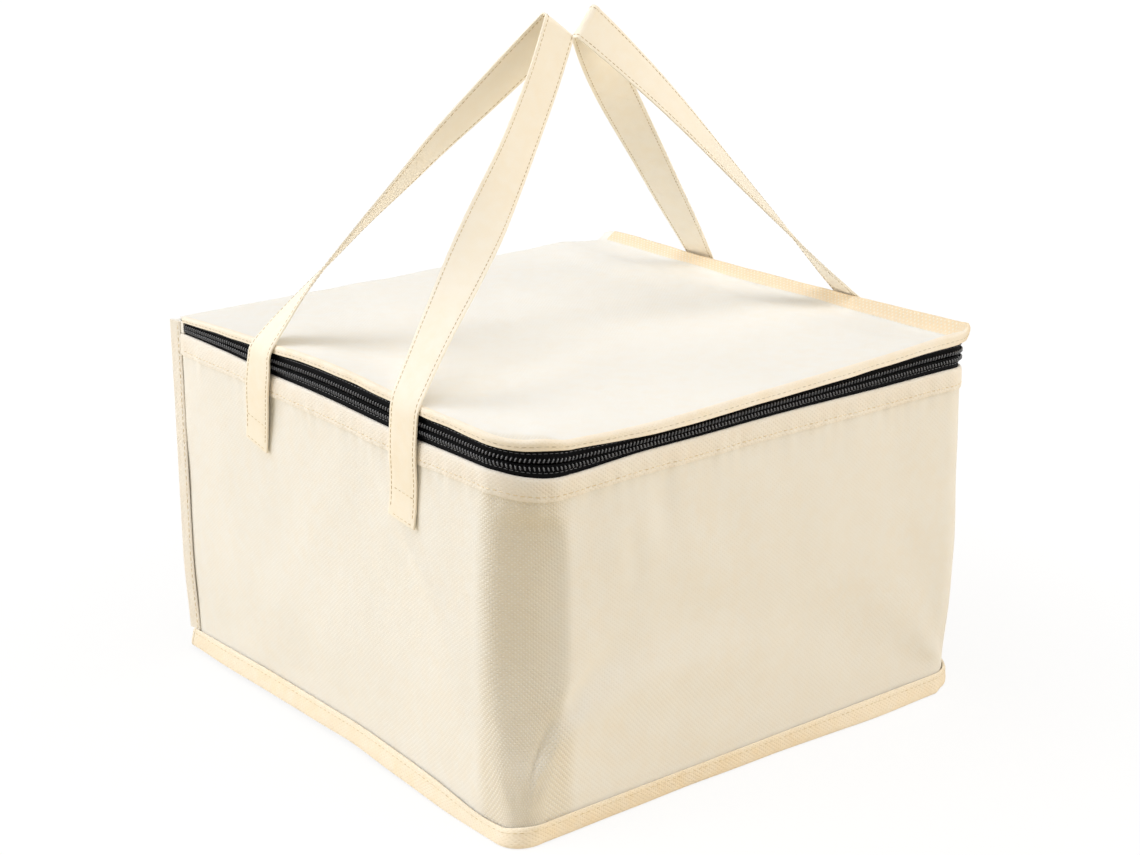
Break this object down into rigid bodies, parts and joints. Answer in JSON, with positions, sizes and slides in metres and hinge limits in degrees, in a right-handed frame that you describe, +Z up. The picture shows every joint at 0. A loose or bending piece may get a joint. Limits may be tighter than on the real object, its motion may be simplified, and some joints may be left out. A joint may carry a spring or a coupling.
{
  "type": "cake storage bag",
  "caption": "Square insulated fabric carrier for a boxed cake, with a zipped lid that hinges at the back and carry straps that fold over at the top.",
  "frame": {"origin": "on the floor under the middle of the bag", "axes": "+Z up; -Y is the front, the zipped side opposite the lid's fold; the straps are sewn to the -X and +X sides"},
  "size_m": [0.3154, 0.3116, 0.3596],
  "materials": {
    "ivory_fabric": "matt non-woven cloth with a fine embossed dot",
    "peach_binding": "matt non-woven cloth, folded double",
    "cream_thread": "matt sewing thread",
    "white_foam": "matt closed-cell foam",
    "silver_foil": "bright foil film",
    "black_tape": "matt woven tape",
    "black_nylon": "satin nylon",
    "black_metal": "satin paint"
  },
  "bodies": {
    "bag": {"base_fabric_tray": "ivory_fabric", "base_foam_pad": "white_foam", "base_foil_lining": "silver_foil", "base_seam_binding": "peach_binding", "base_binding_stitching": "cream_thread", "wall_fabric": "ivory_fabric", "wall_foam": "white_foam", "wall_foil_lining": "silver_foil", "wall_top_facing": "peach_binding", "wall_facing_stitching": "cream_thread", "back_fabric": "ivory_fabric", "back_foam": "white_foam", "back_foil_lining": "silver_foil", "left_seam_binding": "peach_binding", "left_zip_end_tab": "ivory_fabric", "right_seam_binding": "peach_binding", "right_zip_end_tab": "ivory_fabric", "lower_zip_tape": "black_tape", "lower_zip_teeth": "black_nylon", "left_front_strap_end": "peach_binding", "left_front_end_stitching": "cream_thread", "left_rear_strap_end": "peach_binding", "left_rear_end_stitching": "cream_thread", "right_front_strap_end": "peach_binding", "right_front_end_stitching": "cream_thread", "right_rear_strap_end": "peach_binding", "right_rear_end_stitching": "cream_thread"},
    "lid": {"lid_fabric": "ivory_fabric", "lid_foam": "white_foam", "lid_foil_lining": "silver_foil", "lid_hem_facing": "peach_binding", "lid_hem_stitching": "cream_thread", "upper_zip_tape": "black_tape", "upper_zip_teeth": "black_nylon"},
    "left_strap_loop": {"left_strap": "peach_binding"},
    "right_strap_loop": {"right_strap": "peach_binding"},
    "slider": {"zip_slider": "black_metal"},
    "pull": {"zip_pull": "black_metal"}
  },
  "joints": [
    {"name": "lid_hinge", "type": "hinge", "parent": "bag", "child": "lid", "pos_m": [0, 0.15, 0.196], "axis": [-1, 0, 0], "range_deg": [0, 90]},
    {"name": "left_strap_swing", "type": "hinge", "parent": "bag", "child": "left_strap_loop", "pos_m": [-0.1517, 0, 0.1519], "axis": [0, -1, 0], "range_deg": [0, 158]},
    {"name": "right_strap_swing", "type": "hinge", "parent": "bag", "child": "right_strap_loop", "pos_m": [0.1517, 0, 0.1519], "axis": [0, 1, 0], "range_deg": [0, 158]},
    {"name": "slider_run", "type": "slide", "parent": "bag", "child": "slider", "axis": [0, -1, 0], "range_m": [0, 0.24]},
    {"name": "pull_swing", "type": "hinge", "parent": "slider", "child": "pull", "pos_m": [0.1533, 0.1337, 0.1835], "axis": [0, 0, 1], "range_deg": [0, 170]}
  ],
  "couplings": [
    {"joint": "left_strap_swing", "follows": "lid_hinge", "ratio": 1.75},
    {"joint": "right_strap_swing", "follows": "lid_hinge", "ratio": 1.75}
  ]
}
